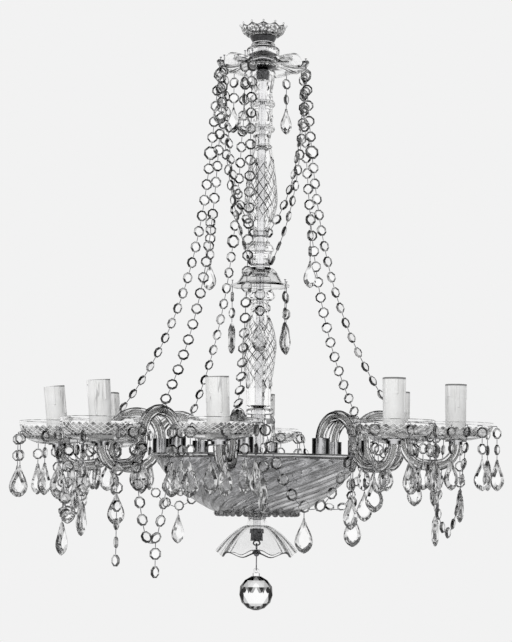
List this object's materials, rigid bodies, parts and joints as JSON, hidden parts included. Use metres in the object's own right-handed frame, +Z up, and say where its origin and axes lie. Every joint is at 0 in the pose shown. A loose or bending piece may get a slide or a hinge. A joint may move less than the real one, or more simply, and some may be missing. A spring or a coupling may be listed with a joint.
{
  "type": "glass chandelier",
  "caption": "Clear glass chandelier: curved fluted arms with drip dishes and candle sleeves round a turned column, hung with octagon strands and pear drops.",
  "frame": {"origin": "centre of the hanging loop's ring, on the chandelier's upright axis", "axes": "+Z up along the column, -Y towards the camera's side (front), +X to the viewer's right"},
  "size_m": [0.6569, 0.6499, 0.7898],
  "materials": {
    "clear_glass": "clear, polished",
    "grey_glass": "clear, slightly grey",
    "crystal": "cut and polished",
    "candle_ivory": "satin, with moulded wax runs",
    "dark_chrome": "polished, darkened",
    "dark_metal": "satin, dark",
    "loop_steel": "polished",
    "tube_steel": "drawn tube",
    "hook_steel": "polished wire",
    "seat_metal": "polished",
    "wire_sheath": "smooth",
    "holder_plastic": "matt black"
  },
  "bodies": {
    "chandelier": {"hanging_loop": "loop_steel", "crown_bowl": "clear_glass", "crown_cup": "dark_metal", "upper_dome": "clear_glass", "top_disc": "clear_glass", "disc_cup": "dark_metal", "spool_cup": "dark_metal", "column_spools": "clear_glass", "spacer_rings": "clear_glass", "vase": "clear_glass", "leaf_collar": "clear_glass", "glass_bell": "grey_glass", "bell_seat": "dark_metal", "knop": "clear_glass", "lower_baluster": "clear_glass", "column_foot": "clear_glass", "central_tube": "tube_steel", "arm_plate": "dark_chrome", "arm_cups": "dark_chrome", "receiver_bowl": "grey_glass", "bowl_seat": "dark_metal", "bottom_dish": "clear_glass", "bottom_hook": "hook_steel", "arm_1": "clear_glass", "arm_2": "clear_glass", "arm_3": "clear_glass", "arm_4": "clear_glass", "arm_5": "clear_glass", "arm_6": "clear_glass", "arm_7": "clear_glass", "arm_8": "clear_glass", "dish_1": "clear_glass", "dish_2": "clear_glass", "dish_3": "clear_glass", "dish_4": "clear_glass", "dish_5": "clear_glass", "dish_6": "clear_glass", "dish_7": "clear_glass", "dish_8": "clear_glass", "dish_seats": "seat_metal", "lampholders": "holder_plastic", "arm_wires": "wire_sheath", "long_strands": "crystal", "upper_crystals": "crystal", "dish_pendants": "crystal", "dish_swags": "crystal"},
    "candle_sleeve_1_body": {"candle_sleeve_1": "candle_ivory"},
    "candle_sleeve_2_body": {"candle_sleeve_2": "candle_ivory"},
    "candle_sleeve_3_body": {"candle_sleeve_3": "candle_ivory"},
    "candle_sleeve_4_body": {"candle_sleeve_4": "candle_ivory"},
    "candle_sleeve_5_body": {"candle_sleeve_5": "candle_ivory"},
    "candle_sleeve_6_body": {"candle_sleeve_6": "candle_ivory"},
    "candle_sleeve_7_body": {"candle_sleeve_7": "candle_ivory"},
    "candle_sleeve_8_body": {"candle_sleeve_8": "candle_ivory"},
    "ball_link_body": {"ball_link": "hook_steel"},
    "crystal_ball_body": {"crystal_ball": "crystal"},
    "bell_pendant_1_body": {"bell_pendant_1": "crystal"},
    "bell_pendant_2_body": {"bell_pendant_2": "crystal"},
    "bell_pendant_3_body": {"bell_pendant_3": "crystal"},
    "bell_pendant_4_body": {"bell_pendant_4": "crystal"}
  },
  "joints": [
    {"name": "sleeve_1_lift", "type": "slide", "parent": "chandelier", "child": "candle_sleeve_1_body", "axis": [-0.0375, -0.0239, 0.999], "range_m": [0, 0.075]},
    {"name": "sleeve_2_lift", "type": "slide", "parent": "chandelier", "child": "candle_sleeve_2_body", "axis": [0, 0, 1], "range_m": [0, 0.075]},
    {"name": "sleeve_3_lift", "type": "slide", "parent": "chandelier", "child": "candle_sleeve_3_body", "axis": [0, 0, 1], "range_m": [0, 0.075]},
    {"name": "sleeve_4_lift", "type": "slide", "parent": "chandelier", "child": "candle_sleeve_4_body", "axis": [0, 0, 1], "range_m": [0, 0.075]},
    {"name": "sleeve_5_lift", "type": "slide", "parent": "chandelier", "child": "candle_sleeve_5_body", "axis": [0, 0, 1], "range_m": [0, 0.075]},
    {"name": "sleeve_6_lift", "type": "slide", "parent": "chandelier", "child": "candle_sleeve_6_body", "axis": [-0.0943, 0.0544, 0.9941], "range_m": [0, 0.075]},
    {"name": "sleeve_7_lift", "type": "slide", "parent": "chandelier", "child": "candle_sleeve_7_body", "axis": [-0.1057, -0.0221, 0.9942], "range_m": [0, 0.075]},
    {"name": "sleeve_8_lift", "type": "slide", "parent": "chandelier", "child": "candle_sleeve_8_body", "axis": [-0.07, -0.0822, 0.9942], "range_m": [0, 0.075]},
    {"name": "ball_link_swing", "type": "hinge", "parent": "chandelier", "child": "ball_link_body", "pos_m": [0, 0, -0.698], "axis": [1, 0, 0], "range_deg": [-40, 40]},
    {"name": "ball_swing", "type": "hinge", "parent": "ball_link_body", "child": "crystal_ball_body", "pos_m": [0, 0, -0.7298], "axis": [0, 1, 0], "range_deg": [-40, 40]},
    {"name": "bell_pendant_1_swing", "type": "hinge", "parent": "chandelier", "child": "bell_pendant_1_body", "pos_m": [0, -0.0371, -0.35995], "axis": [-1, 0, 0], "range_deg": [-3, 18]},
    {"name": "bell_pendant_2_swing", "type": "hinge", "parent": "chandelier", "child": "bell_pendant_2_body", "pos_m": [0.03334, -0.01626, -0.35995], "axis": [-0.4384, -0.8988, 0], "range_deg": [-3, 18]},
    {"name": "bell_pendant_3_swing", "type": "hinge", "parent": "chandelier", "child": "bell_pendant_3_body", "pos_m": [0.03566, 0.01023, -0.35995], "axis": [0.2756, -0.9613, 0], "range_deg": [-3, 18]},
    {"name": "bell_pendant_4_swing", "type": "hinge", "parent": "chandelier", "child": "bell_pendant_4_body", "pos_m": [-0.03708, -0.00129, -0.35995], "axis": [-0.0349, 0.9994, 0], "range_deg": [-3, 18]}
  ]
}
